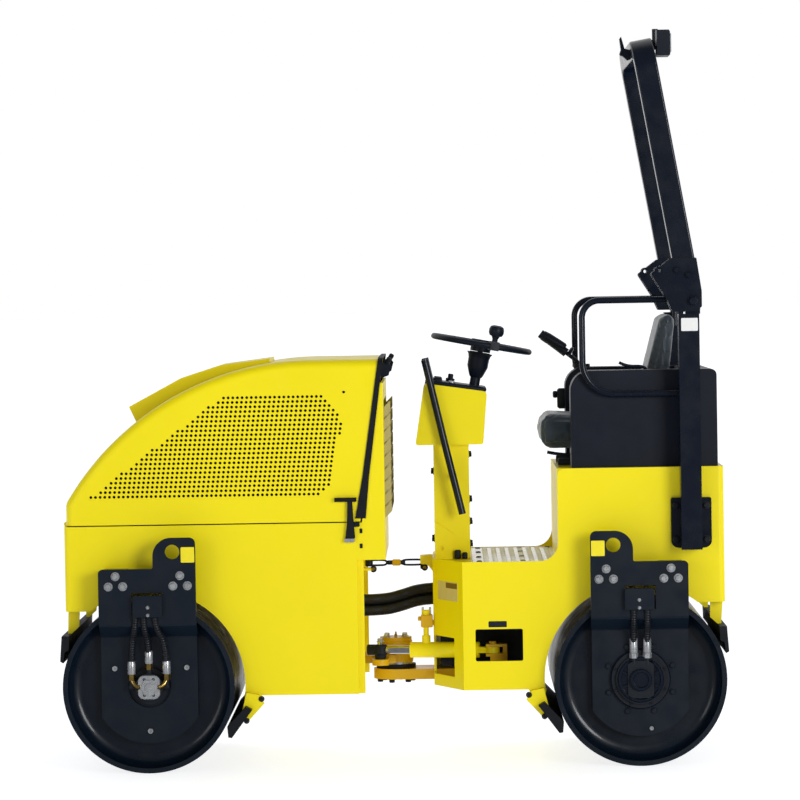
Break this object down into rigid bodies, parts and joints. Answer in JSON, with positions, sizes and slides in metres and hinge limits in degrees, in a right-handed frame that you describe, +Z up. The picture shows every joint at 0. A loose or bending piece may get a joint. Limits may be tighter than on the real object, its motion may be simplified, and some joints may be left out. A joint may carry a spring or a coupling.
{
  "type": "road roller",
  "caption": "Ride-on articulated tandem road roller with smooth steel drums, a tilting hood, a driver's place with steering wheel and a folding roll bar.",
  "frame": {"origin": "on the ground under the steering pivot, midway between the drums", "axes": "+X forward, +Y to the driver's left, +Z up"},
  "size_m": [2.176, 1.003, 2.405],
  "materials": {
    "yellow_paint": "gloss",
    "dark_paint": "satin",
    "black_paint": "gloss",
    "drum_steel": "satin",
    "zinc_steel": "satin",
    "chrome": "polished",
    "cast_metal": "satin",
    "cast_iron": "satin",
    "chequer": "satin",
    "black_rubber": "matte",
    "black_plastic": "matte",
    "vinyl": "satin"
  },
  "bodies": {
    "rear_frame": {"rear_side_panels": "yellow_paint", "rear_scraper_bar": "yellow_paint", "rear_front_wall": "yellow_paint", "rear_back_wall": "yellow_paint", "rear_belly_plate": "yellow_paint", "floor_pan": "yellow_paint", "floor_plate": "chequer", "rear_deck": "yellow_paint", "rear_drum_cover": "yellow_paint", "pivot_arm": "yellow_paint", "pivot_washer": "black_rubber", "lock_bar": "cast_iron", "hose_bundle": "black_rubber", "pedestal": "yellow_paint", "console_box": "yellow_paint", "steering_column": "black_plastic", "grab_bars": "dark_paint", "side_console": "black_plastic", "seat_base": "black_plastic", "seat_cushion": "vinyl", "seat_back": "vinyl", "drive_lever": "black_plastic", "handrails": "black_paint", "rops_posts": "black_paint", "rear_drum_plates": "dark_paint", "rear_vibration_motor": "cast_metal", "rear_drive_motor": "cast_iron", "rear_motor_hoses": "black_rubber", "rear_scraper_blades": "black_rubber"},
    "center_section": {"centre_hub": "yellow_paint", "pivot_flange": "zinc_steel"},
    "front_frame": {"front_side_panels": "yellow_paint", "front_scraper_bar": "yellow_paint", "front_nose": "yellow_paint", "front_rear_wall": "yellow_paint", "oscillation_bearing": "yellow_paint", "engine_deck": "yellow_paint", "engine_block": "cast_iron", "radiator_housing": "yellow_paint", "radiator_core": "dark_paint", "radiator_grille": "cast_metal", "front_drum_plates": "dark_paint", "front_vibration_motor": "cast_metal", "front_drive_motor": "cast_iron", "front_motor_hoses": "black_rubber", "front_scraper_blades": "black_rubber"},
    "hood": {"hood_shell": "yellow_paint", "hood_mesh_panels": "yellow_paint", "hood_scoop": "yellow_paint", "hood_seal": "black_rubber", "hood_latches": "black_rubber"},
    "front_drum": {"front_drum": "drum_steel"},
    "rear_drum": {"rear_drum": "drum_steel"},
    "roll_bar": {"rops_arch": "black_paint", "work_lamp": "black_plastic", "beacon_stalk": "black_paint"},
    "steering_wheel": {"steering_wheel": "black_plastic"},
    "steer_barrel": {"cylinder_barrel": "yellow_paint"},
    "steer_rod": {"cylinder_rod": "chrome"}
  },
  "joints": [
    {"name": "articulation", "type": "hinge", "parent": "rear_frame", "child": "center_section", "pos_m": [0, 0, 0.3], "axis": [0, 0, 1], "range_deg": [-30, 30], "deforming": ["hose_bundle"]},
    {"name": "oscillation", "type": "hinge", "parent": "center_section", "child": "front_frame", "pos_m": [0.27, 0, 0.3258], "axis": [1, 0, 0], "range_deg": [-8, 8]},
    {"name": "front_drum_spin", "type": "hinge", "parent": "front_frame", "child": "front_drum", "pos_m": [0.8, 0, 0.28], "axis": [0, 1, 0], "continuous": true},
    {"name": "rear_drum_spin", "type": "hinge", "parent": "rear_frame", "child": "rear_drum", "pos_m": [-0.8, 0, 0.28], "axis": [0, 1, 0], "continuous": true},
    {"name": "hood_lift", "type": "hinge", "parent": "front_frame", "child": "hood", "pos_m": [1.074, 0, 0.809], "axis": [0, 1, 0], "range_deg": [0, 65]},
    {"name": "roll_bar_fold", "type": "hinge", "parent": "rear_frame", "child": "roll_bar", "pos_m": [-0.985, 0, 1.508], "axis": [0, -1, 0], "range_deg": [0, 100]},
    {"name": "steering_wheel_turn", "type": "hinge", "parent": "rear_frame", "child": "steering_wheel", "pos_m": [-0.303, 0, 1.373], "axis": [-0.1874, 0, 0.9823], "continuous": true},
    {"name": "cylinder_swing", "type": "hinge", "parent": "rear_frame", "child": "steer_barrel", "pos_m": [-0.322, 0.205, 0.364], "axis": [0, 0, 1], "range_deg": [-3, 3]},
    {"name": "cylinder_slide", "type": "slide", "parent": "steer_barrel", "child": "steer_rod", "axis": [0.9872, -0.1592, 0], "range_m": [-0.08, 0.08]}
  ],
  "couplings": [
    {"joint": "cylinder_swing", "follows": "articulation", "ratio": 0.048},
    {"joint": "cylinder_slide", "follows": "articulation", "m_per_rad": -0.1454}
  ]
}
